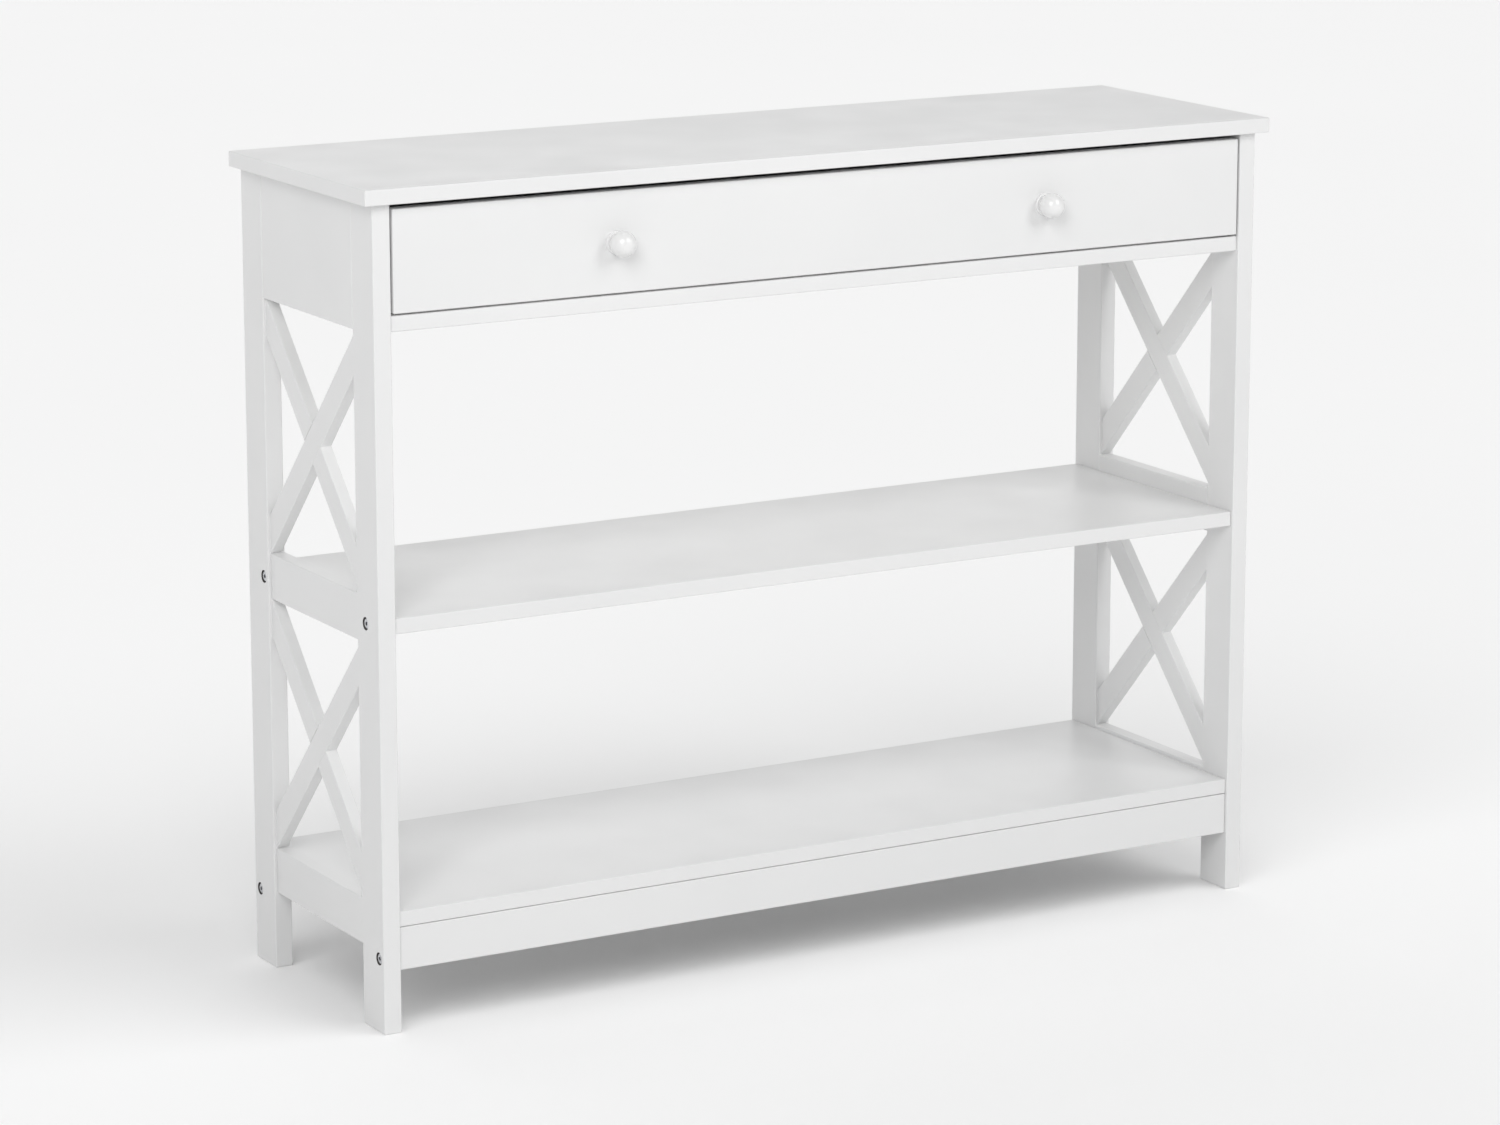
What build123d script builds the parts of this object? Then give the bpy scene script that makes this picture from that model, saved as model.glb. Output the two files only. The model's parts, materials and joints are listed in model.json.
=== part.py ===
from build123d import *
import math
import os

# A white painted console table with one wide drawer, two shelves and X-braced side frames.
# Millimetres, +Z up, +X to the right and the drawer opening towards -Y. The origin is on the floor,
# under the middle of the whole table's bounding box, knobs included.

# ---------------------------------------------------------------- driving dimensions

TABLE_LENGTH = 1000
TABLE_DEPTH = 300
TABLE_HEIGHT = 800
BOARD = 15                     # thickness of the top, shelves, rails, aprons and drawer front
EDGE_RADIUS = 1.2              # softened edges of the painted boards

LEG_WIDTH = 18                 # along X
LEG_DEPTH = 45                 # along Y
SIDE_OVERHANG = 11             # tabletop past the legs at each side
FRONT_OVERHANG = 9
BACK_OVERHANG = 3
FOOT_HEIGHT = 76               # floor to the lower side rail
SIDE_RAIL_HEIGHT = 45
BRACE_BAY_HEIGHT = 249         # clear height of each X-braced bay
BRACE_WIDTH = 26
BRACE_THICKNESS = 12
SET_BACK = 3                   # shelves and rails stand this far behind the legs' faces

MIDDLE_SHELF_TOP = 398
BOTTOM_SHELF_TOP = 117
APRON_HEIGHT = 41.5
SHELF_SEAM = 0.5               # shadow gap between the bottom shelf and its aprons
DRAWER_RAIL_BOTTOM = 666
DRAWER_RAIL_DEPTH = 60

DRAWER_SIDE_GAP = 2.5          # drawer front to leg
DRAWER_BOTTOM_GAP = 2
DRAWER_TOP_GAP = 5.5
DRAWER_BOX_LENGTH = 242
DRAWER_BOX_HEIGHT = 76
DRAWER_BOX_LIFT = 9            # underside of the box above the front's lower edge
DRAWER_WALL = 12
DRAWER_BOTTOM_THICKNESS = 4
DRAWER_BOTTOM_LIFT = 8         # groove above the box's lower edge
GROOVE_DEPTH = 6
GROOVE_CLEARANCE = 0.2
BOTTOM_PLAY = 0.5              # drawer bottom in its grooves, at each edge
RUNNER_GAP = 12.5              # leg face to drawer box

KNOB_X = 238
KNOB_BALL_RADIUS = 12.5
KNOB_BALL_CENTRE = 13.5        # in front of the drawer's face
KNOB_FLANGE_RADIUS = 11.2
KNOB_FLANGE_THICKNESS = 3.2
KNOB_NECK_RADIUS = 8

SHEET = 1.2                    # steel of the runners
ROLLER_RADIUS = 9
ROLLER_WIDTH = 6
ROLLER_PLAY = 0.3              # roller to the track it runs on
RIVET_RADIUS = 2.5
RIVET_HEAD_RADIUS = 3.4
RIVET_HEAD_HEIGHT = 0.8
RUNNING_CLEARANCE = 0.05
LIP_WIDTH = 5                  # lip over the rear roller

BOLT_RADIUS = 3                # M6 frame bolts
BOLT_HEAD_RADIUS = 5.2
BOLT_HEAD_HEIGHT = 4
BOLT_LENGTH = 50
BOLT_RECESS_RADIUS = 6
BOLT_RECESS_DEPTH = 5.2
BOLT_RECESS_CHAMFER = 0.6
BOLT_SOCKET_RADIUS = 2.2
MIDDLE_BOLT_SPACING = 226
LOW_BOLT_HEIGHT = 72
BARREL_RADIUS = 5
BARREL_LENGTH = 12
BARREL_SETBACK = 34            # from the board's end
DRILL_CLEARANCE = 0.3

DOWEL_RADIUS = 4
DOWEL_LENGTH = 28
BRACE_DOWEL_RADIUS = 2.5
BRACE_DOWEL_LENGTH = 24
END_DOWEL_LENGTH = 22          # boards into the legs
SHELF_DOWEL_LENGTH = 20        # aprons into the bottom shelf
DOWEL_CLEARANCE = 0.05
DOWEL_END_ROOM = 1

CAM_RADIUS = 7.5
CAM_DEPTH = 12
CAM_SETBACK = 24               # disc centre to the joint
CAM_BOLT_GRIP = 10             # threaded length in the other board
CAM_SHANK_RADIUS = 2.5
CAM_TIP_RADIUS = 3.4
CAM_AXIS_SHARE = 0.625         # depth of the bolt's axis, as a share of the disc's depth
DRAWER_CAM_RADIUS = 6
DRAWER_CAM_DEPTH = 9

RUNNER_SCREW_RADIUS = 1.9
RUNNER_SCREW_LENGTH = 14       # frame runner to side panel
DRAWER_SCREW_LENGTH = 9        # drawer runner to drawer side
WAFER_HEAD_RADIUS = 3.4
WAFER_HEAD_HEIGHT = 1
KNOB_SCREW_RADIUS = 2
KNOB_SCREW_DEPTH = 12          # into the knob
BACK_SCREW_RADIUS = 1.9
BACK_SCREW_LENGTH = 34
PAN_HEAD_RADIUS = 4
PAN_HEAD_HEIGHT = 2.4
PAN_HEAD_SINK = 2.5            # depth of the counterbore under a pan head

# ---------------------------------------------------------------- derived positions

KNOB_REACH = KNOB_BALL_CENTRE + KNOB_BALL_RADIUS
KNOB_PAST_TOP = KNOB_REACH - FRONT_OVERHANG
OVERALL_DEPTH = TABLE_DEPTH + KNOB_PAST_TOP

TOP_BACK = OVERALL_DEPTH / 2
TOP_FRONT = TOP_BACK - TABLE_DEPTH
TOP_MIDDLE = (TOP_BACK + TOP_FRONT) / 2
LEG_FRONT = TOP_FRONT + FRONT_OVERHANG
LEG_BACK = TOP_BACK - BACK_OVERHANG
BAY_FRONT = LEG_FRONT + LEG_DEPTH          # space between the two legs of a side frame
BAY_BACK = LEG_BACK - LEG_DEPTH

LEG_OUTSIDE = TABLE_LENGTH / 2 - SIDE_OVERHANG
LEG_INSIDE = LEG_OUTSIDE - LEG_WIDTH
RAIL_OUTSIDE = LEG_INSIDE + BOARD
BRACE_INSIDE = RAIL_OUTSIDE - BRACE_THICKNESS

LEG_TOP = TABLE_HEIGHT - BOARD
LOWER_RAIL_TOP = FOOT_HEIGHT + SIDE_RAIL_HEIGHT
MIDDLE_RAIL_BOTTOM = LOWER_RAIL_TOP + BRACE_BAY_HEIGHT
MIDDLE_RAIL_TOP = MIDDLE_RAIL_BOTTOM + SIDE_RAIL_HEIGHT
PANEL_BOTTOM = MIDDLE_RAIL_TOP + BRACE_BAY_HEIGHT
APRON_TOP = BOTTOM_SHELF_TOP - BOARD - SHELF_SEAM
DRAWER_RAIL_TOP = DRAWER_RAIL_BOTTOM + BOARD

SHELF_FRONT = LEG_FRONT + SET_BACK
SHELF_BACK = LEG_BACK - SET_BACK
APRON_MIDDLES = (SHELF_FRONT + BOARD / 2, SHELF_BACK - BOARD / 2)

FRONT_BOTTOM = DRAWER_RAIL_TOP + DRAWER_BOTTOM_GAP
FRONT_TOP = LEG_TOP - DRAWER_TOP_GAP
FRONT_HALF_LENGTH = LEG_INSIDE - DRAWER_SIDE_GAP
FRONT_BACK = LEG_FRONT + BOARD
BOX_BOTTOM = FRONT_BOTTOM + DRAWER_BOX_LIFT
BOX_TOP = BOX_BOTTOM + DRAWER_BOX_HEIGHT
BOX_OUTSIDE = LEG_INSIDE - RUNNER_GAP
BOX_INSIDE = BOX_OUTSIDE - DRAWER_WALL
BOX_BACK = FRONT_BACK + DRAWER_BOX_LENGTH
BOTTOM_GROOVE = BOX_BOTTOM + DRAWER_BOTTOM_LIFT
KNOB_HEIGHT = (FRONT_BOTTOM + FRONT_TOP) / 2

CHANNEL_WEB = -LEG_INSIDE + SHEET          # left-hand runners, mirrored for the right
DRAWER_WEB = -BOX_OUTSIDE - SHEET
CHANNEL_BOTTOM = BOX_BOTTOM + 2
REAR_ROLLER_HEIGHT = CHANNEL_BOTTOM + SHEET + ROLLER_PLAY + ROLLER_RADIUS
CHANNEL_LIP = REAR_ROLLER_HEIGHT + ROLLER_RADIUS + ROLLER_PLAY
FRONT_ROLLER_HEIGHT = CHANNEL_BOTTOM + 14.5
FLANGE_HEIGHT = FRONT_ROLLER_HEIGHT + ROLLER_RADIUS + ROLLER_PLAY
DRAWER_SCREW_HEIGHT = FLANGE_HEIGHT - 9
RUNNER_FRONT = FRONT_BACK + 4
RUNNER_BACK = BOX_BACK
FRONT_ROLLER_START = CHANNEL_WEB + 0.5
REAR_ROLLER_START = DRAWER_WEB - 1.5

X_AXIS, Y_AXIS, Z_AXIS = Vector(1, 0, 0), Vector(0, 1, 0), Vector(0, 0, 1)

# ---------------------------------------------------------------- shared shapes


def block(x0, x1, y0, y1, z0, z1):
    """Plain box between two corners."""
    low_corner = (min(x0, x1), min(y0, y1), min(z0, z1))
    size = (abs(x1 - x0), abs(y1 - y0), abs(z1 - z0))
    return Pos(*low_corner) * Box(*size, align=(Align.MIN, Align.MIN, Align.MIN))


def board(x0, x1, y0, y1, z0, z1):
    """Painted board: a box with all its edges softened."""
    plain = block(x0, x1, y0, y1, z0, z1)
    return fillet(plain.edges(), EDGE_RADIUS)


def rod(start, direction, radius, length):
    """Round bar from a point along a direction."""
    plane = Plane(origin=start, z_dir=direction)
    return plane * Cylinder(radius, length, align=(Align.CENTER, Align.CENTER, Align.MIN))


def dowel(centre, direction, radius, length):
    """Wooden dowel with chamfered ends."""
    pin = rod(Vector(centre) - direction * (length / 2), direction, radius - DOWEL_CLEARANCE, length)
    return chamfer(pin.edges().filter_by(GeomType.CIRCLE), 0.8)


def dowel_hole(centre, direction, radius, length):
    """Hole through both boards for a dowel, with a little room at each end."""
    depth = length + 2 * DOWEL_END_ROOM
    return rod(Vector(centre) - direction * (depth / 2), direction, radius, depth)


def mirrored(shape):
    """The same shape at the other end of the table."""
    return mirror(shape, about=Plane.YZ)


def drill(shape, holes):
    """Cut every hole out of a shape."""
    for hole in holes:
        shape = shape - hole
    return shape


parts = {}


def add(name, *solids):
    """Keep one named sub-part, made of one solid or of several separate ones."""
    parts[name] = list(solids)


def add_pair(name, *solids):
    """Keep a sub-part of the left end, and its mirror image at the right end."""
    add("left_" + name, *solids)
    add("right_" + name, *[mirrored(solid) for solid in solids])


# ---------------------------------------------------------------- fasteners


def frame_bolt(y, z):
    """Left-hand M6 bolt: head in the leg's recess, shank into the board's end, hex socket outside."""
    seat = -LEG_OUTSIDE + BOLT_RECESS_DEPTH
    head = rod((seat - BOLT_HEAD_HEIGHT, y, z), X_AXIS, BOLT_HEAD_RADIUS, BOLT_HEAD_HEIGHT)
    head = fillet(head.edges().group_by(Axis.X)[0], 1.2)
    socket_plane = Plane(origin=(seat - BOLT_HEAD_HEIGHT, y, z), z_dir=X_AXIS)
    socket = extrude(socket_plane * RegularPolygon(BOLT_SOCKET_RADIUS, 6), 2.6)
    shank = rod((seat, y, z), X_AXIS, BOLT_RADIUS, BOLT_LENGTH)
    return head + shank - socket


def frame_bolt_hole(y, z):
    """Recess, clearance hole and shank hole for a left-hand bolt."""
    recess = rod((-LEG_OUTSIDE - 1, y, z), X_AXIS, BOLT_RECESS_RADIUS, BOLT_RECESS_DEPTH + 1)
    mouth = Plane(origin=(-LEG_OUTSIDE, y, z), z_dir=X_AXIS) * Cone(
        BOLT_RECESS_RADIUS + BOLT_RECESS_CHAMFER,
        BOLT_RECESS_RADIUS,
        BOLT_RECESS_CHAMFER,
        align=(Align.CENTER, Align.CENTER, Align.MIN),
    )
    reach = BOLT_RECESS_DEPTH + BOLT_LENGTH + 2
    shank = rod((-LEG_OUTSIDE, y, z), X_AXIS, BOLT_RADIUS + DRILL_CLEARANCE, reach)
    return recess + mouth + shank


def barrel_nut(centre, direction):
    """Cross dowel with a hole for the bolt, and a slot in its end."""
    radius = BARREL_RADIUS - DRILL_CLEARANCE / 2
    nut = rod(Vector(centre) - direction * (BARREL_LENGTH / 2), direction, radius, BARREL_LENGTH)
    nut = nut - rod(Vector(centre) - X_AXIS * 8, X_AXIS, BOLT_RADIUS + RUNNING_CLEARANCE, 16)
    end = Vector(centre) + direction * (BARREL_LENGTH / 2)
    slot_half = Vector(0.6, 0.6, 0.6) + (Y_AXIS if direction == -Z_AXIS else Z_AXIS) * 4
    low, high = end - slot_half, end + slot_half
    return nut - block(low.X, high.X, low.Y, high.Y, low.Z, high.Z)


def barrel_hole(centre, direction):
    """Hole that opens on the hidden face of the board."""
    start = Vector(centre) - direction * (BARREL_LENGTH / 2)
    return rod(start, direction, BARREL_RADIUS, BARREL_LENGTH + BOARD)


def cam_disc(centre, face, joint, radius, depth):
    """Cam disc flush with the board's face, with a cross slot and a mouth for the bolt's tip."""
    disc = rod(centre, face * -1, radius - 0.1, depth)
    across = face.cross(joint)
    for long_way, short_way in ((joint, across), (across, joint)):
        half = long_way * 4.5 + short_way * 0.7 + face * 2
        half = Vector(abs(half.X), abs(half.Y), abs(half.Z))
        low, high = Vector(centre) - half, Vector(centre) + half
        disc = disc - block(low.X, high.X, low.Y, high.Y, low.Z, high.Z)
    axis_point = Vector(centre) - face * (depth * CAM_AXIS_SHARE)
    return disc - rod(axis_point - joint * 4, joint, CAM_TIP_RADIUS + DRILL_CLEARANCE, radius + 8)


def cam_bolt(centre, face, joint, setback, depth):
    """Bolt from the other board to the disc: thread, collar, shank and tip."""
    axis_point = Vector(centre) - face * (depth * CAM_AXIS_SHARE)
    meeting = axis_point + joint * setback
    thread = rod(meeting, joint, CAM_SHANK_RADIUS, CAM_BOLT_GRIP)
    collar = rod(meeting - joint * 3, joint, CAM_TIP_RADIUS, 3)
    shank = rod(axis_point, joint, CAM_SHANK_RADIUS - 0.5, setback)
    tip = rod(axis_point - joint * 3, joint, CAM_TIP_RADIUS, 5)
    return thread + collar + shank + tip


def cam_holes(centre, face, joint, setback, radius, depth):
    """Disc pocket and bolt tunnel in one board, and the thread's hole in the other."""
    axis_point = Vector(centre) - face * (depth * CAM_AXIS_SHARE)
    pocket = rod(Vector(centre) + face, face * -1, radius, depth + 1.2)
    tunnel = rod(axis_point, joint, CAM_TIP_RADIUS + DRILL_CLEARANCE, setback)
    thread = rod(axis_point, joint, CAM_SHANK_RADIUS + RUNNING_CLEARANCE, setback + CAM_BOLT_GRIP + 0.5)
    return pocket + tunnel, thread


def screw(seat, direction, radius, length, head_radius, head_height):
    """Screw whose head sits on a surface, with a cross slot in the head."""
    shank = rod(seat, direction, radius, length)
    head = rod(Vector(seat) - direction * head_height, direction, head_radius, head_height)
    body = shank + head
    across = X_AXIS if direction.X == 0 else Y_AXIS
    upright = direction.cross(across)
    top = Vector(seat) - direction * head_height
    for long_way, short_way in ((across, upright), (upright, across)):
        half = long_way * (head_radius * 0.6) + short_way * 0.4 + direction * (head_height * 0.5)
        half = Vector(abs(half.X), abs(half.Y), abs(half.Z))
        low, high = top - half, top + half
        body = body - block(low.X, high.X, low.Y, high.Y, low.Z, high.Z)
    return body


# ---------------------------------------------------------------- frame bolts and barrel nuts

middle_bolt_ys = [TOP_MIDDLE - MIDDLE_BOLT_SPACING / 2, TOP_MIDDLE + MIDDLE_BOLT_SPACING / 2]
middle_bolt_height = MIDDLE_SHELF_TOP - BOARD / 2
bolt_places = [(y, middle_bolt_height) for y in middle_bolt_ys]
bolt_places += [(y, LOW_BOLT_HEIGHT) for y in APRON_MIDDLES]
left_bolts = [frame_bolt(y, z) for y, z in bolt_places]
left_bolt_holes = [frame_bolt_hole(y, z) for y, z in bolt_places]

barrel_x = -LEG_INSIDE + BARREL_SETBACK
shelf_barrels = [((barrel_x, y, middle_bolt_height), -Z_AXIS) for y in middle_bolt_ys]
front_barrels = [((barrel_x, APRON_MIDDLES[0], LOW_BOLT_HEIGHT), Y_AXIS)]
back_barrels = [((barrel_x, APRON_MIDDLES[1], LOW_BOLT_HEIGHT), -Y_AXIS)]
left_barrels = [barrel_nut(*place) for place in shelf_barrels + front_barrels + back_barrels]

add("frame_bolts", *left_bolts, *[mirrored(bolt) for bolt in left_bolts])
add("barrel_nuts", *left_barrels, *[mirrored(nut) for nut in left_barrels])


def both_ends(holes):
    """Holes at the left end and their mirror images at the right end."""
    return list(holes) + [mirrored(hole) for hole in holes]


# ---------------------------------------------------------------- side frames: boards and dowels

rail_middle_x = -(LEG_INSIDE + BOARD / 2)
panel_middle_x = -(LEG_INSIDE + LEG_WIDTH / 2)
dowel_heights = []
for rail_bottom in (FOOT_HEIGHT, MIDDLE_RAIL_BOTTOM):
    for offset in (-14, 14):
        dowel_heights.append((rail_middle_x, rail_bottom + SIDE_RAIL_HEIGHT / 2 + offset))
for height in (PANEL_BOTTOM + 20, (PANEL_BOTTOM + LEG_TOP) / 2, LEG_TOP - 20):
    dowel_heights.append((panel_middle_x, height))
frame_dowel_centres = [(x, y, z) for x, z in dowel_heights for y in (BAY_FRONT, BAY_BACK)]

brace_angle = math.acos(BRACE_WIDTH / math.hypot(BRACE_BAY_HEIGHT, BAY_BACK - BAY_FRONT)) - math.atan2(
    BAY_BACK - BAY_FRONT, BRACE_BAY_HEIGHT
)
brace_cut = BRACE_WIDTH / math.cos(brace_angle)      # upright height of a brace's cut end
brace_middle_x = -(BRACE_INSIDE + BRACE_THICKNESS / 2)
brace_dowel_centres = []
for bay_bottom in (LOWER_RAIL_TOP, MIDDLE_RAIL_TOP):
    for y in (BAY_FRONT, BAY_BACK):
        for z in (bay_bottom + brace_cut / 2, bay_bottom + BRACE_BAY_HEIGHT - brace_cut / 2):
            brace_dowel_centres.append((brace_middle_x, y, z))

frame_dowel_holes = [dowel_hole(c, Y_AXIS, DOWEL_RADIUS, DOWEL_LENGTH) for c in frame_dowel_centres]
brace_dowel_holes = [
    dowel_hole(c, Y_AXIS, BRACE_DOWEL_RADIUS, BRACE_DOWEL_LENGTH) for c in brace_dowel_centres
]

# Boards that meet the side frames end to end: dowels along X into the legs.
end_dowel_centres = [
    (-LEG_INSIDE, SHELF_FRONT + 10, DRAWER_RAIL_BOTTOM + BOARD / 2),
    (-LEG_INSIDE, APRON_MIDDLES[1], PANEL_BOTTOM + 22),
    (-LEG_INSIDE, APRON_MIDDLES[1], LEG_TOP - 22),
    (-LEG_INSIDE, APRON_MIDDLES[0], APRON_TOP - 10),
    (-LEG_INSIDE, APRON_MIDDLES[1], APRON_TOP - 10),
]
end_dowel_holes = [dowel_hole(c, X_AXIS, DOWEL_RADIUS, END_DOWEL_LENGTH) for c in end_dowel_centres]

# Bottom shelf on its aprons: dowels along Z.
shelf_dowel_centres = [(x, y, APRON_TOP - 1) for x in (-300, 0, 300) for y in APRON_MIDDLES]
shelf_dowel_holes = [
    dowel_hole(c, Z_AXIS, DOWEL_RADIUS, SHELF_DOWEL_LENGTH) for c in shelf_dowel_centres
]

# Cam fittings: disc centre on a board's face, outward normal of that face, direction to the joint.
left_cams = [
    ((-LEG_INSIDE, BAY_FRONT + 40, LEG_TOP - CAM_SETBACK), X_AXIS, Z_AXIS),
    ((-LEG_INSIDE, BAY_BACK - 40, LEG_TOP - CAM_SETBACK), X_AXIS, Z_AXIS),
    ((-LEG_INSIDE + CAM_SETBACK, SHELF_BACK - BOARD, (PANEL_BOTTOM + LEG_TOP) / 2), -Y_AXIS, -X_AXIS),
    ((-LEG_INSIDE + CAM_SETBACK, SHELF_FRONT + 27, DRAWER_RAIL_BOTTOM), -Z_AXIS, -X_AXIS),
    ((-300, SHELF_BACK - BOARD, LEG_TOP - CAM_SETBACK), -Y_AXIS, Z_AXIS),
]
cam_pockets = []
cam_threads = []
left_discs = []
left_cam_bolts = []
for centre, face, joint in left_cams:
    pocket, thread = cam_holes(centre, face, joint, CAM_SETBACK, CAM_RADIUS, CAM_DEPTH)
    cam_pockets.append(pocket)
    cam_threads.append(thread)
    left_discs.append(cam_disc(centre, face, joint, CAM_RADIUS, CAM_DEPTH))
    left_cam_bolts.append(cam_bolt(centre, face, joint, CAM_SETBACK, CAM_DEPTH))
side_pockets, back_end_pocket, rail_end_pocket, back_top_pocket = (
    cam_pockets[:2],
    cam_pockets[2],
    cam_pockets[3],
    cam_pockets[4],
)
add("cam_discs", *left_discs, *[mirrored(disc) for disc in left_discs])
add("cam_bolts", *left_cam_bolts, *[mirrored(bolt) for bolt in left_cam_bolts])

# Runner screws in the side panel.
runner_screw_ys = (BAY_FRONT + 12, (BAY_FRONT + BAY_BACK) / 2, BAY_BACK - 12)
runner_screw_holes = [
    rod((-LEG_INSIDE - RUNNER_SCREW_LENGTH, y, REAR_ROLLER_HEIGHT), X_AXIS, RUNNER_SCREW_RADIUS + 0.1, 20)
    for y in runner_screw_ys
]

leg_holes = left_bolt_holes + frame_dowel_holes + brace_dowel_holes + end_dowel_holes + cam_threads
for place, y0 in (("front", LEG_FRONT), ("back", BAY_BACK)):
    leg = board(-LEG_OUTSIDE, -LEG_INSIDE, y0, y0 + LEG_DEPTH, 0, LEG_TOP)
    add_pair(place + "_leg", drill(leg, leg_holes))

side_panel = board(-LEG_OUTSIDE, -LEG_INSIDE, BAY_FRONT, BAY_BACK, PANEL_BOTTOM, LEG_TOP)
add_pair("side_panel", drill(side_panel, frame_dowel_holes + side_pockets + runner_screw_holes))

for place, z0 in (("lower", FOOT_HEIGHT), ("middle", MIDDLE_RAIL_BOTTOM)):
    rail = board(-RAIL_OUTSIDE, -LEG_INSIDE, BAY_FRONT, BAY_BACK, z0, z0 + SIDE_RAIL_HEIGHT)
    add_pair(place + "_rail", drill(rail, frame_dowel_holes))

left_frame_dowels = [dowel(c, Y_AXIS, DOWEL_RADIUS, DOWEL_LENGTH) for c in frame_dowel_centres]
left_brace_dowels = [dowel(c, Y_AXIS, BRACE_DOWEL_RADIUS, BRACE_DOWEL_LENGTH) for c in brace_dowel_centres]
add("frame_dowels", *left_frame_dowels, *[mirrored(pin) for pin in left_frame_dowels])
add("brace_dowels", *left_brace_dowels, *[mirrored(pin) for pin in left_brace_dowels])

# ---------------------------------------------------------------- X braces, halved over each other


def brace_bar(bay_bottom, rises_forward, softened):
    """Bar of an X brace, corner to corner of its bay, with upright ends against the legs."""
    low_y, high_y = (BAY_BACK, BAY_FRONT) if rises_forward else (BAY_FRONT, BAY_BACK)
    bay_top = bay_bottom + BRACE_BAY_HEIGHT
    outline = [
        (low_y, bay_bottom),
        (high_y, bay_top - brace_cut),
        (high_y, bay_top),
        (low_y, bay_bottom + brace_cut),
    ]
    plane = Plane(origin=(-RAIL_OUTSIDE, 0, 0), x_dir=(0, 1, 0), z_dir=(1, 0, 0))
    bar = extrude(plane * make_face(Polyline(*outline, close=True)), BRACE_THICKNESS)
    if not softened:
        return bar
    return fillet(bar.edges().sort_by(Edge.length)[-4:], EDGE_RADIUS)


for level, bay_bottom in (("upper", MIDDLE_RAIL_TOP), ("lower", LOWER_RAIL_TOP)):
    outer_half = block(-RAIL_OUTSIDE, brace_middle_x, BAY_FRONT, BAY_BACK, 0, LEG_TOP)
    inner_half = block(brace_middle_x, -BRACE_INSIDE, BAY_FRONT, BAY_BACK, 0, LEG_TOP)
    forward = brace_bar(bay_bottom, True, True) - (brace_bar(bay_bottom, False, False) & inner_half)
    rearward = brace_bar(bay_bottom, False, True) - (brace_bar(bay_bottom, True, False) & outer_half)
    add_pair(level + "_brace_forward", drill(forward, brace_dowel_holes))
    add_pair(level + "_brace_rearward", drill(rearward, brace_dowel_holes))

# ---------------------------------------------------------------- top, shelves, aprons, back panel

tabletop = board(-TABLE_LENGTH / 2, TABLE_LENGTH / 2, TOP_FRONT, TOP_BACK, LEG_TOP, TABLE_HEIGHT)
add("tabletop", drill(tabletop, both_ends(cam_threads)))

middle_shelf = board(
    -LEG_INSIDE, LEG_INSIDE, SHELF_FRONT, SHELF_BACK, MIDDLE_SHELF_TOP - BOARD, MIDDLE_SHELF_TOP
)
middle_shelf_holes = left_bolt_holes + [barrel_hole(*place) for place in shelf_barrels]
add("middle_shelf", drill(middle_shelf, both_ends(middle_shelf_holes)))

bottom_shelf = board(
    -LEG_INSIDE, LEG_INSIDE, SHELF_FRONT, SHELF_BACK, BOTTOM_SHELF_TOP - BOARD, BOTTOM_SHELF_TOP
)
add("bottom_shelf", drill(bottom_shelf, shelf_dowel_holes))

for place, middle_y, barrels in (
    ("front", APRON_MIDDLES[0], front_barrels),
    ("back", APRON_MIDDLES[1], back_barrels),
):
    apron = board(
        -LEG_INSIDE,
        LEG_INSIDE,
        middle_y - BOARD / 2,
        middle_y + BOARD / 2,
        APRON_TOP - APRON_HEIGHT,
        APRON_TOP,
    )
    end_holes = left_bolt_holes + end_dowel_holes + [barrel_hole(*spot) for spot in barrels]
    add(place + "_apron", drill(apron, both_ends(end_holes) + shelf_dowel_holes))

back_panel = board(-LEG_INSIDE, LEG_INSIDE, SHELF_BACK - BOARD, SHELF_BACK, PANEL_BOTTOM, LEG_TOP)
back_panel_holes = end_dowel_holes + [back_end_pocket, back_top_pocket]
add("back_panel", drill(back_panel, both_ends(back_panel_holes)))

drawer_rail = board(
    -LEG_INSIDE,
    LEG_INSIDE,
    SHELF_FRONT,
    SHELF_FRONT + DRAWER_RAIL_DEPTH,
    DRAWER_RAIL_BOTTOM,
    DRAWER_RAIL_TOP,
)
add("drawer_rail", drill(drawer_rail, both_ends(end_dowel_holes + [rail_end_pocket])))

end_dowels = [dowel(c, X_AXIS, DOWEL_RADIUS, END_DOWEL_LENGTH) for c in end_dowel_centres]
shelf_dowels = [dowel(c, Z_AXIS, DOWEL_RADIUS, SHELF_DOWEL_LENGTH) for c in shelf_dowel_centres]
add("board_dowels", *both_ends(end_dowels), *shelf_dowels)

# ---------------------------------------------------------------- drawer box

drawer_cam_heights = (BOX_BOTTOM + 26, BOX_TOP - 14)
left_drawer_cams = [
    ((-BOX_INSIDE, FRONT_BACK + CAM_SETBACK, z), X_AXIS, -Y_AXIS) for z in drawer_cam_heights
]
drawer_pockets = []
drawer_threads = []
left_drawer_discs = []
left_drawer_bolts = []
for centre, face, joint in left_drawer_cams:
    pocket, thread = cam_holes(centre, face, joint, CAM_SETBACK, DRAWER_CAM_RADIUS, DRAWER_CAM_DEPTH)
    drawer_pockets.append(pocket)
    drawer_threads.append(thread)
    left_drawer_discs.append(cam_disc(centre, face, joint, DRAWER_CAM_RADIUS, DRAWER_CAM_DEPTH))
    left_drawer_bolts.append(cam_bolt(centre, face, joint, CAM_SETBACK, DRAWER_CAM_DEPTH))
add("drawer_cam_discs", *both_ends(left_drawer_discs))
add("drawer_cam_bolts", *both_ends(left_drawer_bolts))

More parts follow.
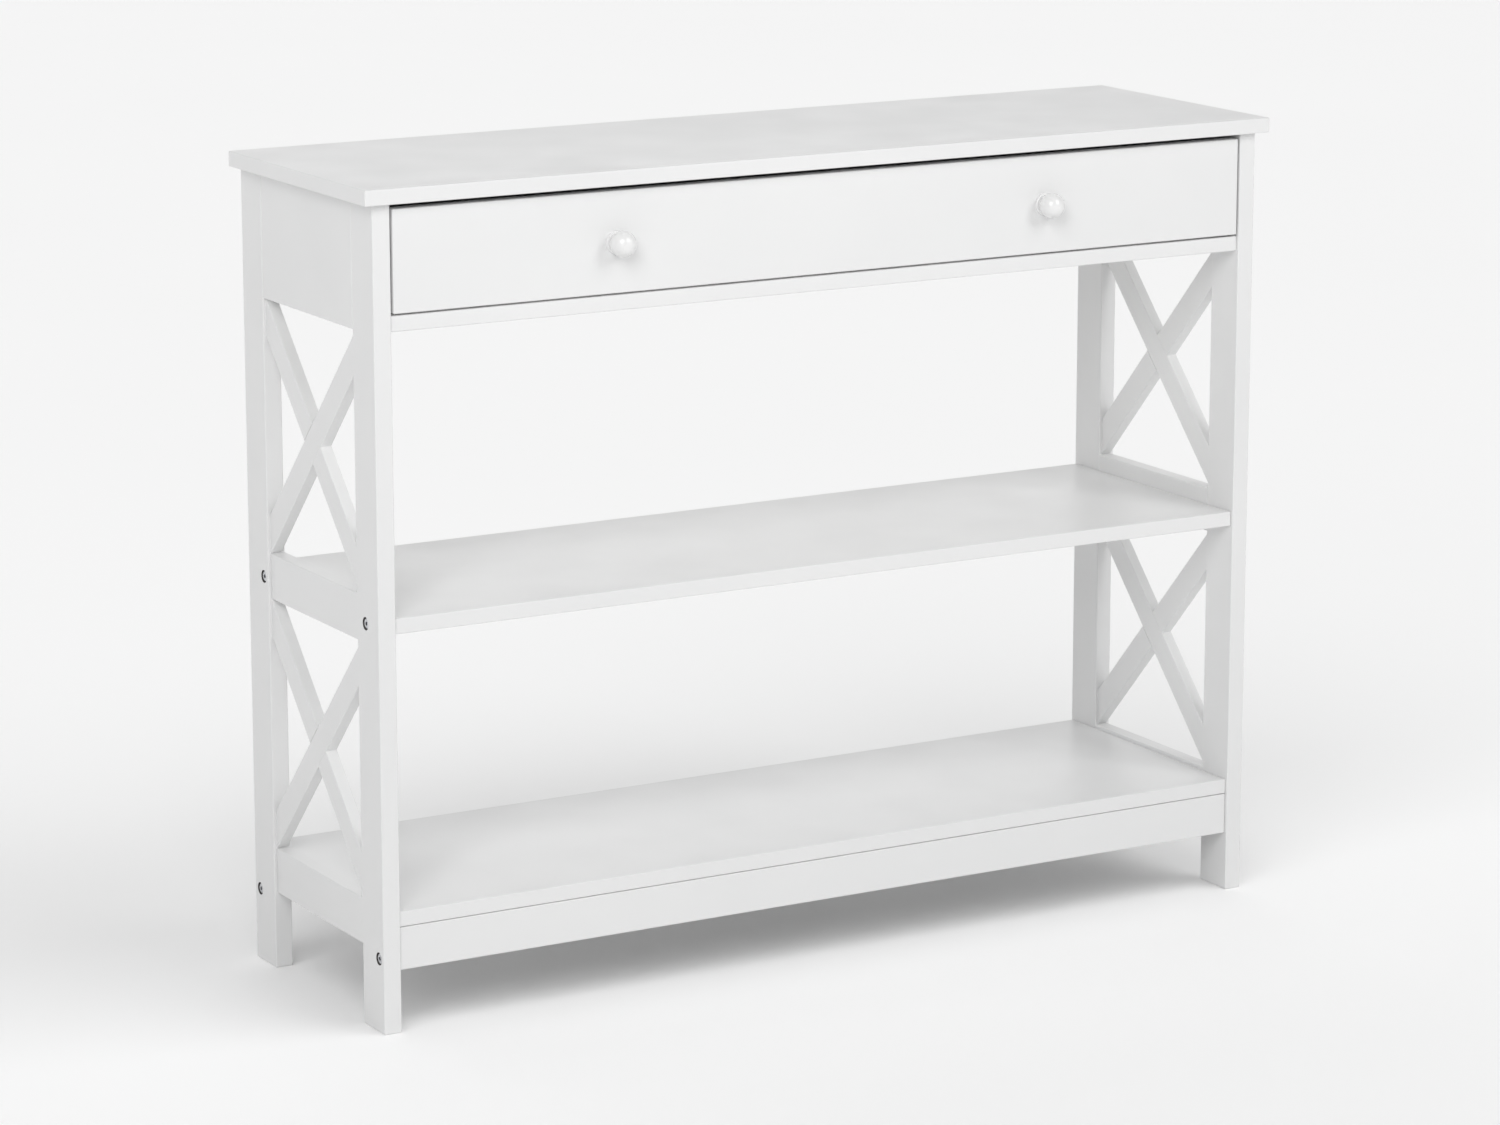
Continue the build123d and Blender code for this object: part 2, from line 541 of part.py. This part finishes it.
groove = block(
    -BOX_INSIDE - GROOVE_DEPTH,
    BOX_INSIDE + GROOVE_DEPTH,
    FRONT_BACK - GROOVE_DEPTH,
    BOX_BACK - DRAWER_WALL + GROOVE_DEPTH,
    BOTTOM_GROOVE - GROOVE_CLEARANCE,
    BOTTOM_GROOVE + DRAWER_BOTTOM_THICKNESS + GROOVE_CLEARANCE,
)
knob_screw_holes = [
    rod((x, FRONT_BACK + 1, KNOB_HEIGHT), -Y_AXIS, KNOB_SCREW_RADIUS + DRILL_CLEARANCE, BOARD + 2)
    for x in (-KNOB_X, KNOB_X)
]
drawer_front = board(-FRONT_HALF_LENGTH, FRONT_HALF_LENGTH, LEG_FRONT, FRONT_BACK, FRONT_BOTTOM, FRONT_TOP)
add("drawer_front", drill(drawer_front, [groove] + both_ends(drawer_threads) + knob_screw_holes))

back_screw_heights = (BOX_BOTTOM + 38, BOX_TOP - 14)
back_screw_y = BOX_BACK - DRAWER_WALL / 2
back_screw_holes = [
    rod((-BOX_OUTSIDE - 1, back_screw_y, z), X_AXIS, BACK_SCREW_RADIUS + 0.1, BACK_SCREW_LENGTH + 2)
    for z in back_screw_heights
]
back_screw_heads = [
    rod((-BOX_OUTSIDE - 1, back_screw_y, z), X_AXIS, PAN_HEAD_RADIUS + 0.1, PAN_HEAD_SINK + 1.1)
    for z in back_screw_heights
]
back_screws = [
    screw(
        (-BOX_OUTSIDE + PAN_HEAD_SINK, back_screw_y, z),
        X_AXIS,
        BACK_SCREW_RADIUS,
        BACK_SCREW_LENGTH - 3,
        PAN_HEAD_RADIUS,
        PAN_HEAD_HEIGHT,
    )
    for z in back_screw_heights
]
add("drawer_back_screws", *both_ends(back_screws))

# Screws that hold the runner to the drawer's side.
drawer_screw_ys = (FRONT_BACK + 40, FRONT_BACK + 120, FRONT_BACK + 190)
drawer_screw_holes = [
    rod((-BOX_OUTSIDE - 3, y, DRAWER_SCREW_HEIGHT), X_AXIS, RUNNER_SCREW_RADIUS + 0.1, 13)
    for y in drawer_screw_ys
]

drawer_side = board(-BOX_OUTSIDE, -BOX_INSIDE, FRONT_BACK, BOX_BACK, BOX_BOTTOM, BOX_TOP)
side_holes = [groove] + drawer_pockets + back_screw_holes + back_screw_heads + drawer_screw_holes
add_pair("drawer_side", drill(drawer_side, side_holes))

drawer_back = board(-BOX_INSIDE, BOX_INSIDE, BOX_BACK - DRAWER_WALL, BOX_BACK, BOX_BOTTOM, BOX_TOP)
add("drawer_back", drill(drawer_back, [groove] + both_ends(back_screw_holes)))

drawer_bottom = block(
    -BOX_INSIDE - GROOVE_DEPTH + BOTTOM_PLAY,
    BOX_INSIDE + GROOVE_DEPTH - BOTTOM_PLAY,
    FRONT_BACK - GROOVE_DEPTH + BOTTOM_PLAY,
    BOX_BACK - DRAWER_WALL + GROOVE_DEPTH - BOTTOM_PLAY,
    BOTTOM_GROOVE,
    BOTTOM_GROOVE + DRAWER_BOTTOM_THICKNESS,
)
add("drawer_bottom", drawer_bottom)

# ---------------------------------------------------------------- knobs


def knob(x):
    """Ball knob turned with a round base flange and a short neck, bored for its screw."""
    flange = rod((0, 0, 0), Z_AXIS, KNOB_FLANGE_RADIUS, KNOB_FLANGE_THICKNESS)
    flange = fillet(flange.edges().filter_by(GeomType.CIRCLE).group_by(Axis.Z)[-1], 1.4)
    neck = rod((0, 0, 0), Z_AXIS, KNOB_NECK_RADIUS, KNOB_BALL_CENTRE)
    ball = Pos(0, 0, KNOB_BALL_CENTRE) * Sphere(KNOB_BALL_RADIUS)
    above_flange = block(-20, 20, -20, 20, KNOB_FLANGE_THICKNESS + 0.6, 40)
    bore = rod((0, 0, -1), Z_AXIS, KNOB_SCREW_RADIUS + RUNNING_CLEARANCE, KNOB_SCREW_DEPTH + 2)
    turned = flange + neck + (ball & above_flange) - bore
    return Plane(origin=(x, LEG_FRONT, KNOB_HEIGHT), z_dir=(0, -1, 0)) * turned


add("left_knob", knob(-KNOB_X))
add("right_knob", knob(KNOB_X))
knob_screws = [
    screw(
        (x, FRONT_BACK, KNOB_HEIGHT),
        -Y_AXIS,
        KNOB_SCREW_RADIUS,
        BOARD + KNOB_SCREW_DEPTH,
        PAN_HEAD_RADIUS,
        PAN_HEAD_HEIGHT,
    )
    for x in (-KNOB_X, KNOB_X)
]
add("knob_screws", *knob_screws)

# ---------------------------------------------------------------- roller runners, left then mirrored

front_roller_y = RUNNER_FRONT + 12
rear_roller_y = BOX_BACK - 12

frame_runner = block(
    -LEG_INSIDE, CHANNEL_WEB, RUNNER_FRONT, RUNNER_BACK, CHANNEL_BOTTOM, CHANNEL_LIP + SHEET
)
frame_runner += block(
    -LEG_INSIDE, DRAWER_WEB - 2, RUNNER_FRONT, RUNNER_BACK, CHANNEL_BOTTOM, CHANNEL_BOTTOM + SHEET
)
frame_runner += block(
    -LEG_INSIDE,
    CHANNEL_WEB + LIP_WIDTH,
    front_roller_y + ROLLER_RADIUS + 3,
    RUNNER_BACK,
    CHANNEL_LIP,
    CHANNEL_LIP + SHEET,
)
frame_runner_holes = [
    rod((-LEG_INSIDE - 1, y, REAR_ROLLER_HEIGHT), X_AXIS, RUNNER_SCREW_RADIUS + 0.1, SHEET + 2)
    for y in runner_screw_ys
]
frame_runner_holes.append(
    rod((-LEG_INSIDE - 1, front_roller_y, FRONT_ROLLER_HEIGHT), X_AXIS, RIVET_RADIUS + 0.05, SHEET + 2)
)
add_pair("frame_runner", drill(frame_runner, frame_runner_holes))

drawer_runner = block(
    DRAWER_WEB, -BOX_OUTSIDE, RUNNER_FRONT, RUNNER_BACK, BOX_BOTTOM - SHEET, FLANGE_HEIGHT + SHEET
)
drawer_runner += block(DRAWER_WEB, -BOX_INSIDE, RUNNER_FRONT, RUNNER_BACK, BOX_BOTTOM - SHEET, BOX_BOTTOM)
drawer_runner += block(
    CHANNEL_WEB + 0.8, -BOX_OUTSIDE, RUNNER_FRONT, RUNNER_BACK, FLANGE_HEIGHT, FLANGE_HEIGHT + SHEET
)
drawer_runner_holes = drawer_screw_holes + [
    rod((DRAWER_WEB - 1, rear_roller_y, REAR_ROLLER_HEIGHT), X_AXIS, RIVET_RADIUS + 0.05, SHEET + 2)
]
add_pair("drawer_runner", drill(drawer_runner, drawer_runner_holes))


def roller(start, heading):
    """Nylon roller with softened rims, bored for its rivet."""
    tyre = rod(start, heading, ROLLER_RADIUS, ROLLER_WIDTH)
    tyre = fillet(tyre.edges().filter_by(GeomType.CIRCLE), 0.8)
    return tyre - rod(Vector(start) - heading, heading, RIVET_RADIUS + RUNNING_CLEARANCE, ROLLER_WIDTH + 2)


def roller_rivet(start, heading, root_x):
    """Rivet from a runner's mounting face through its roller, with a flat head."""
    reach = abs(start[0] - root_x) + ROLLER_WIDTH + ROLLER_PLAY
    root = (root_x, start[1], start[2])
    shank = rod(root, heading, RIVET_RADIUS, reach)
    head = rod(Vector(root) + heading * reach, heading, RIVET_HEAD_RADIUS, RIVET_HEAD_HEIGHT)
    return shank + head


front_roller_start = (FRONT_ROLLER_START, front_roller_y, FRONT_ROLLER_HEIGHT)
rear_roller_start = (REAR_ROLLER_START, rear_roller_y, REAR_ROLLER_HEIGHT)
add_pair("front_roller", roller(front_roller_start, X_AXIS))
add_pair("rear_roller", roller(rear_roller_start, -X_AXIS))
frame_rivet = roller_rivet(front_roller_start, X_AXIS, -LEG_INSIDE)
drawer_rivet = roller_rivet(rear_roller_start, -X_AXIS, -BOX_OUTSIDE)
add("frame_roller_rivets", frame_rivet, mirrored(frame_rivet))
add("drawer_roller_rivets", drawer_rivet, mirrored(drawer_rivet))

frame_runner_screws = [
    screw(
        (CHANNEL_WEB, y, REAR_ROLLER_HEIGHT),
        -X_AXIS,
        RUNNER_SCREW_RADIUS,
        RUNNER_SCREW_LENGTH,
        WAFER_HEAD_RADIUS,
        WAFER_HEAD_HEIGHT,
    )
    for y in runner_screw_ys
]
drawer_runner_screws = [
    screw(
        (DRAWER_WEB, y, DRAWER_SCREW_HEIGHT),
        X_AXIS,
        RUNNER_SCREW_RADIUS,
        DRAWER_SCREW_LENGTH,
        WAFER_HEAD_RADIUS,
        WAFER_HEAD_HEIGHT,
    )
    for y in drawer_screw_ys
]
add("frame_runner_screws", *both_ends(frame_runner_screws))
add("drawer_runner_screws", *both_ends(drawer_runner_screws))

# ---------------------------------------------------------------- write one file per sub-part

os.makedirs("parts", exist_ok=True)
for name, solids in parts.items():
    flat = [solid for shape in solids for solid in shape.solids()]
    shape = flat[0] if len(flat) == 1 else Compound(children=flat)
    shape.label = name
    export_step(shape, f"parts/{name}.step")
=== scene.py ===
import json
import math

import bpy
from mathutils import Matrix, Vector


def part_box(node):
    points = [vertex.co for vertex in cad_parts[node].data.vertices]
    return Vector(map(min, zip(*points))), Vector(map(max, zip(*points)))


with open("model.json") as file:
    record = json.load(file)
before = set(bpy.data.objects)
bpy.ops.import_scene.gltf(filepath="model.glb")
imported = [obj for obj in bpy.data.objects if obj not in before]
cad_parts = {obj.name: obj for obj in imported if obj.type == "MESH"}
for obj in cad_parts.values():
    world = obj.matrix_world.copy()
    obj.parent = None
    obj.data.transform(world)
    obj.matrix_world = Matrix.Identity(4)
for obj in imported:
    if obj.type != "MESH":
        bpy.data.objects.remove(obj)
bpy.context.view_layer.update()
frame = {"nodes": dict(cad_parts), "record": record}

# Materials, light and camera for a white painted console table, in metres and in the CAD model's frame.
# Every piece is a CAD node that keeps its own shape and gets a procedural material.

nodes = frame["nodes"]

BOARD_EDGE = 0.0012            # width of the softened edges of the painted boards, and of the highlight painted along them
THIN_EDGE = 0.0006             # the same on folded steel and rollers
FINE_EDGE = 0.0004             # the same on screws and fittings
BOLT_HEAD_RADIUS = 0.0052
BOLT_HOLE_RADIUS = 0.0062      # recess around a bolt's head, with a little to spare
SHELF_BOLT_SPACING = 0.226     # between the two bolts at each end of the middle shelf

FLOOR_REACH = 60.0
FRONT_ROOM_LIGHT = 0.37        # strength of the room's light, and of its backdrop behind the table
BACKDROP_LIGHT = 1.12
SOFTBOX_WIDTH = 1.5
SOFTBOX_HEIGHT = 2.2
SOFTBOX_SPREAD = 90            # degrees
SOFTBOX_TARGET = (0.0, 0.0, 0.70)
FLOOR_LIGHT_SPREAD = 50.0      # degrees

CAMERA_PLACE = (-2.3895, -4.1140, 1.4480)
CAMERA_TILT = 78.14            # degrees from straight down
CAMERA_TURN = -29.96           # degrees about the upright axis
CAMERA_LENS = 118.0
CAMERA_SHIFT = -0.05

# ---------------------------------------------------------------- node helpers


class Graph:
    """Small helper that adds nodes to a material and links them."""

    def __init__(self, name):
        self.material = bpy.data.materials.new(name)
        self.material.use_nodes = True
        self.tree = self.material.node_tree
        self.shader = self.tree.nodes["Principled BSDF"]
        self.where = self.tree.nodes.new("ShaderNodeTexCoord").outputs["Object"]

    def node(self, kind, **settings):
        """New node; each setting is the value of an input, or else an attribute of the node."""
        made = self.tree.nodes.new(kind)
        for key, value in settings.items():
            if key in made.inputs:
                made.inputs[key].default_value = value
            else:
                setattr(made, key, value)
        return made

    def link(self, source, target):
        self.tree.links.new(source, target)

    def stretched(self, scale):
        """Object coordinates stretched along an axis, for grain that runs one way."""
        mapping = self.node("ShaderNodeMapping", Scale=scale)
        self.link(self.where, mapping.inputs["Vector"])
        return mapping.outputs["Vector"]

    def noise(self, scale, detail=4.0, roughness=0.5, at=None):
        made = self.node("ShaderNodeTexNoise", Scale=scale, Detail=detail, Roughness=roughness)
        self.link(at or self.where, made.inputs["Vector"])
        return made.outputs["Fac"]

    def ramp(self, value, low, high, low_out, high_out):
        """A value carried from one range to another, and held at the ends."""
        made = self.node("ShaderNodeMapRange", clamp=True)
        for key, number in zip(("From Min", "From Max", "To Min", "To Max"), (low, high, low_out, high_out)):
            made.inputs[key].default_value = number
        self.link(value, made.inputs["Value"])
        return made.outputs["Result"]

    def math(self, operation, a, b):
        """Result of an operation on two values; each is a number or a socket."""
        made = self.node("ShaderNodeMath", operation=operation)
        for socket, value in zip(made.inputs, (a, b)):
            if isinstance(value, (int, float)):
                socket.default_value = value
            else:
                self.link(value, socket)
        return made.outputs["Value"]

    def mix(self, factor, a, b):
        """Mix of two colours; each is a colour or a socket."""
        made = self.node("ShaderNodeMix", data_type="RGBA")
        self.link(factor, made.inputs["Factor"])
        for socket, value in ((made.inputs[6], a), (made.inputs[7], b)):
            if isinstance(value, tuple):
                socket.default_value = (*value, 1.0)
            else:
                self.link(value, socket)
        return made.outputs[2]

    def edge(self, radius):
        """1 along edges and 0 on flat faces, broken up by a fine noise."""
        rounded = self.node("ShaderNodeBevel", Radius=radius, samples=4)
        flatness = self.node("ShaderNodeVectorMath", operation="DOT_PRODUCT")
        self.link(rounded.outputs["Normal"], flatness.inputs[0])
        self.link(self.node("ShaderNodeNewGeometry").outputs["Normal"], flatness.inputs[1])
        breaks = self.math("MULTIPLY", self.noise(60.0, 3.0), 0.03)
        return self.ramp(self.math("ADD", flatness.outputs["Value"], breaks), 0.90, 1.005, 1.0, 0.0)

    def drilled(self, axes, radius):
        """1 inside any hole of that radius along X, at these places in Y and Z, and 0 elsewhere."""
        split = self.node("ShaderNodeSeparateXYZ")
        self.link(self.where, split.inputs["Vector"])
        nearest = 1.0
        for y, z in axes:
            across = self.math("SUBTRACT", split.outputs["Y"], y)
            up = self.math("SUBTRACT", split.outputs["Z"], z)
            distance = self.math("ADD", self.math("MULTIPLY", across, across), self.math("MULTIPLY", up, up))
            nearest = self.math("MINIMUM", distance, nearest)
        return self.math("LESS_THAN", nearest, radius * radius)

    def bump(self, height, distance, strength=1.0, normal=None):
        made = self.node("ShaderNodeBump", Strength=strength, Distance=distance)
        self.link(height, made.inputs["Height"])
        if normal:
            self.link(normal, made.inputs["Normal"])
        return made.outputs["Normal"]

    def finish(self, colour, roughness, normal=None):
        self.link(colour, self.shader.inputs["Base Color"])
        self.link(roughness, self.shader.inputs["Roughness"])
        if normal:
            self.link(normal, self.shader.inputs["Normal"])
        return self.material


# ---------------------------------------------------------------- materials


def paint(name, tint, deep, gloss, orange_peel=0.00003, holes=()):
    """Sprayed white paint: soft sheen, faint peel, a painted highlight along the edges, and bare board
    darkened with painted shade in the holes.
    """
    g = Graph(name)
    cloud = g.noise(3.5, 3.0)
    speck = g.noise(900.0, 2.0)
    colour = g.mix(g.ramp(cloud, 0.35, 0.65, 0.0, 1.0), tint, deep)
    # Painted highlight: the paint colour is made whiter along the board edges.
    edge_highlight_colour = tuple(min(1.0, part * 1.05) for part in tint)
    colour = g.mix(g.edge(BOARD_EDGE), colour, edge_highlight_colour)
    colour = g.mix(g.ramp(speck, 0.66, 0.72, 0.0, 0.25), colour, tuple(part * 0.93 for part in deep))
    if holes:
        # Bare board in the bolt recesses, made near black as painted shade inside them.
        bare_board_and_painted_shade = g.mix(g.noise(700.0, 4.0), (0.055, 0.052, 0.050), (0.095, 0.090, 0.085))
        colour = g.mix(g.drilled(holes, BOLT_HOLE_RADIUS), colour, bare_board_and_painted_shade)
    rough = g.ramp(g.noise(14.0, 5.0), 0.3, 0.7, gloss - 0.05, gloss + 0.06)
    peel = g.bump(g.noise(420.0, 3.0, 0.6), orange_peel, 0.8)
    normal = g.bump(g.noise(18.0, 2.0), 0.00018, 0.35, peel)
    return g.finish(colour, rough, normal)


def bolt_places():
    """Depth and height of the four frame bolts of one side: two in the aprons, two in the middle shelf."""
    bolt_lowest, bolt_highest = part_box("frame_bolts")
    top_lowest, top_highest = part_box("tabletop")
    shelf_lowest, shelf_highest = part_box("middle_shelf")
    low_height = bolt_lowest.z + BOLT_HEAD_RADIUS
    top_middle = (top_lowest.y + top_highest.y) / 2
    shelf_height = (shelf_lowest.z + shelf_highest.z) / 2
    return [
        (bolt_lowest.y + BOLT_HEAD_RADIUS, low_height),
        (bolt_highest.y - BOLT_HEAD_RADIUS, low_height),
        (top_middle - SHELF_BOLT_SPACING / 2, shelf_height),
        (top_middle + SHELF_BOLT_SPACING / 2, shelf_height),
    ]


def gloss_lacquer():
    """Clear-coated white lacquer on the turned knobs."""
    lacquer = paint("white_gloss_lacquer", (0.80, 0.80, 0.798), (0.78, 0.78, 0.778), 0.24, 0.000008)
    shader = lacquer.node_tree.nodes["Principled BSDF"]
    shader.inputs["Coat Weight"].default_value = 0.35
    shader.inputs["Coat Roughness"].default_value = 0.08
    return lacquer


def melamine():
    """Printed white film on the drawer's boards: an even matte face with a faint pressed grain."""
    g = Graph("white_film_board")
    grain = g.noise(40.0, 6.0, 0.6, at=g.stretched((1.0, 12.0, 12.0)))
    colour = g.mix(g.ramp(grain, 0.35, 0.65, 0.0, 1.0), (0.80, 0.80, 0.79), (0.76, 0.76, 0.75))
    rough = g.ramp(g.noise(30.0, 4.0), 0.3, 0.7, 0.42, 0.54)
    return g.finish(colour, rough, g.bump(grain, 0.00004, 0.6))


def hardboard():
    """Thin fibreboard with a painted face: matte, with fine fibres showing."""
    g = Graph("painted_hardboard")
    fibre = g.noise(260.0, 6.0, 0.7, at=g.stretched((1.0, 3.0, 1.0)))
    colour = g.mix(g.ramp(fibre, 0.3, 0.7, 0.0, 1.0), (0.78, 0.775, 0.76), (0.70, 0.69, 0.665))
    rough = g.ramp(fibre, 0.3, 0.7, 0.5, 0.66)
    return g.finish(colour, rough, g.bump(fibre, 0.00005, 0.7))


def enamel():
    """White epoxy coat on the folded steel runners, thin on the folds."""
    g = Graph("white_coated_steel")
    cloud = g.noise(25.0, 3.0)
    colour = g.mix(g.ramp(cloud, 0.35, 0.65, 0.0, 1.0), (0.80, 0.80, 0.79), (0.75, 0.75, 0.74))
    colour = g.mix(g.edge(THIN_EDGE), colour, (0.62, 0.62, 0.62))
    rough = g.ramp(g.noise(80.0, 4.0), 0.3, 0.7, 0.28, 0.40)
    return g.finish(colour, rough, g.bump(g.noise(700.0, 3.0), 0.00003, 0.6))


def zinc():
    """Bright zinc plate on screws and fittings: mottled grey, brighter on rubbed edges."""
    g = Graph("zinc_plated_steel")
    mottle = g.noise(320.0, 4.0)
    colour = g.mix(g.ramp(mottle, 0.35, 0.65, 0.0, 1.0), (0.66, 0.67, 0.69), (0.50, 0.51, 0.53))
    colour = g.mix(g.edge(FINE_EDGE), colour, (0.82, 0.82, 0.83))
    rough = g.ramp(g.noise(600.0, 4.0), 0.3, 0.7, 0.24, 0.42)
    g.shader.inputs["Metallic"].default_value = 1.0
    return g.finish(colour, rough, g.bump(g.noise(900.0, 3.0), 0.00003, 0.5))


def nylon():
    """Moulded white nylon: milky and slightly uneven, greyer on the rims."""
    g = Graph("moulded_nylon")
    cloud = g.noise(90.0, 3.0)
    colour = g.mix(g.ramp(cloud, 0.35, 0.65, 0.0, 1.0), (0.84, 0.84, 0.81), (0.77, 0.77, 0.73))
    colour = g.mix(g.edge(THIN_EDGE), colour, (0.70, 0.70, 0.68))
    rough = g.ramp(g.noise(150.0, 4.0), 0.3, 0.7, 0.36, 0.52)
    return g.finish(colour, rough, g.bump(g.noise(500.0, 3.0), 0.00004, 0.6))


def beech():
    """Bare beech dowel: warm straw colour with fine grain."""
    g = Graph("bare_beech")
    grain = g.noise(220.0, 6.0, 0.6, at=g.stretched((6.0, 1.0, 6.0)))
    colour = g.mix(g.ramp(grain, 0.35, 0.65, 0.0, 1.0), (0.66, 0.47, 0.28), (0.52, 0.34, 0.19))
    rough = g.ramp(grain, 0.3, 0.7, 0.55, 0.72)
    return g.finish(colour, rough, g.bump(grain, 0.0001, 0.7))


board = paint("white_satin_paint", (0.775, 0.776, 0.775), (0.755, 0.757, 0.757), 0.34)
upright = paint(
    "white_satin_paint_frames", (0.775, 0.776, 0.775), (0.752, 0.754, 0.754), 0.40, holes=bolt_places()
)
by_slot = {
    "painted_board": board,
    "painted_knob": gloss_lacquer(),
    "drawer_board": melamine(),
    "hardboard": hardboard(),
    "coated_steel": enamel(),
    "zinc_steel": zinc(),
    "nylon": nylon(),
    "beech": beech(),
}
FRAME_WORDS = ("leg", "side_panel", "middle_rail", "lower_rail", "brace")
for subpart in frame["record"]["subparts"]:
    piece = nodes[subpart["node"]]
    material = by_slot[subpart["material_slot"]]
    if material is board and any(word in piece.name for word in FRAME_WORDS):
        material = upright
    piece.data.materials.clear()
    piece.data.materials.append(material)

# ---------------------------------------------------------------- floor and room

floor_mesh = bpy.data.meshes.new("floor")
floor_mesh.from_pydata(
    [
        (-FLOOR_REACH, -FLOOR_REACH, 0),
        (FLOOR_REACH, -FLOOR_REACH, 0),
        (FLOOR_REACH, FLOOR_REACH, 0),
        (-FLOOR_REACH, FLOOR_REACH, 0),
    ],
    [],
    [(0, 1, 2, 3)],
)
floor = bpy.data.objects.new("floor", floor_mesh)
bpy.context.scene.collection.objects.link(floor)
pale = Graph("pale_floor")
floor_mottle = pale.noise(0.8, 2.0)
floor_colour = pale.mix(floor_mottle, (0.945, 0.945, 0.945), (0.96, 0.96, 0.96))
floor_mesh.materials.append(pale.finish(floor_colour, pale.ramp(floor_mottle, 0.0, 1.0, 0.85, 0.95)))

world = bpy.data.worlds.new("soft_white_room")
world.use_nodes = True
background = world.node_tree.nodes["Background"]
background.inputs["Color"].default_value = (1.0, 1.0, 1.0, 1.0)
direction = world.node_tree.nodes.new("ShaderNodeTexCoord")
axes = world.node_tree.nodes.new("ShaderNodeSeparateXYZ")
backdrop = world.node_tree.nodes.new("ShaderNodeMapRange")
backdrop.interpolation_type = "SMOOTHSTEP"
backdrop.inputs["From Min"].default_value = 0.35
backdrop.inputs["From Max"].default_value = 0.9
backdrop.inputs["To Min"].default_value = FRONT_ROOM_LIGHT
backdrop.inputs["To Max"].default_value = BACKDROP_LIGHT
world.node_tree.links.new(direction.outputs["Generated"], axes.inputs["Vector"])
world.node_tree.links.new(axes.outputs["Y"], backdrop.inputs["Value"])
world.node_tree.links.new(backdrop.outputs["Result"], background.inputs["Strength"])
bpy.context.scene.world = world
bpy.context.scene.view_settings.view_transform = "Standard"

# ---------------------------------------------------------------- lights


def add_lamp(name, data, towards, objects):
    """Adds a lamp that shines from a direction and lights only these objects."""
    lamp = bpy.data.objects.new(name, data)
    bpy.context.scene.collection.objects.link(lamp)
    lamp.rotation_euler = Vector(towards).to_track_quat("Z", "Y").to_euler()
    lit = bpy.data.collections.new(name + "_lights")
    for thing in objects:
        lit.objects.link(thing)
    lamp.light_linking.receiver_collection = lit
    return lamp


def softbox(name, place, power):
    """Rectangular softbox for the table, weaker lower down as in a small studio."""
    data = bpy.data.lights.new(name, "AREA")
    data.shape = "RECTANGLE"
    data.size = SOFTBOX_WIDTH
    data.size_y = SOFTBOX_HEIGHT
    data.energy = power
    data.spread = math.radians(SOFTBOX_SPREAD)
    lamp = add_lamp(name, data, Vector(place) - Vector(SOFTBOX_TARGET), nodes.values())
    lamp.location = place


def floor_sun(name, towards, strength):
    """Even light for the whole floor, with a soft edge to the table's shadow."""
    data = bpy.data.lights.new(name, "SUN")
    data.energy = strength
    data.angle = math.radians(FLOOR_LIGHT_SPREAD)
    add_lamp(name, data, towards, [floor])


softbox("softbox_left", (-2.2, -2.5, 2.5), 16.2)
softbox("softbox_right", (1.4, -2.85, 2.7), 11.4)
floor_sun("floor_light_left", (-0.5, -0.5, 0.7), 1.16)
floor_sun("floor_light_right", (0.5, -0.5, 0.7), 1.04)

# ---------------------------------------------------------------- camera

camera_data = bpy.data.cameras.new("camera")
camera_data.sensor_fit = "HORIZONTAL"
camera_data.sensor_width = 36.0
camera_data.lens = CAMERA_LENS
camera_data.shift_y = CAMERA_SHIFT
camera = bpy.data.objects.new("camera", camera_data)
bpy.context.scene.collection.objects.link(camera)
camera.location = CAMERA_PLACE
camera.rotation_euler = (math.radians(CAMERA_TILT), 0.0, math.radians(CAMERA_TURN))
bpy.context.scene.camera = camera
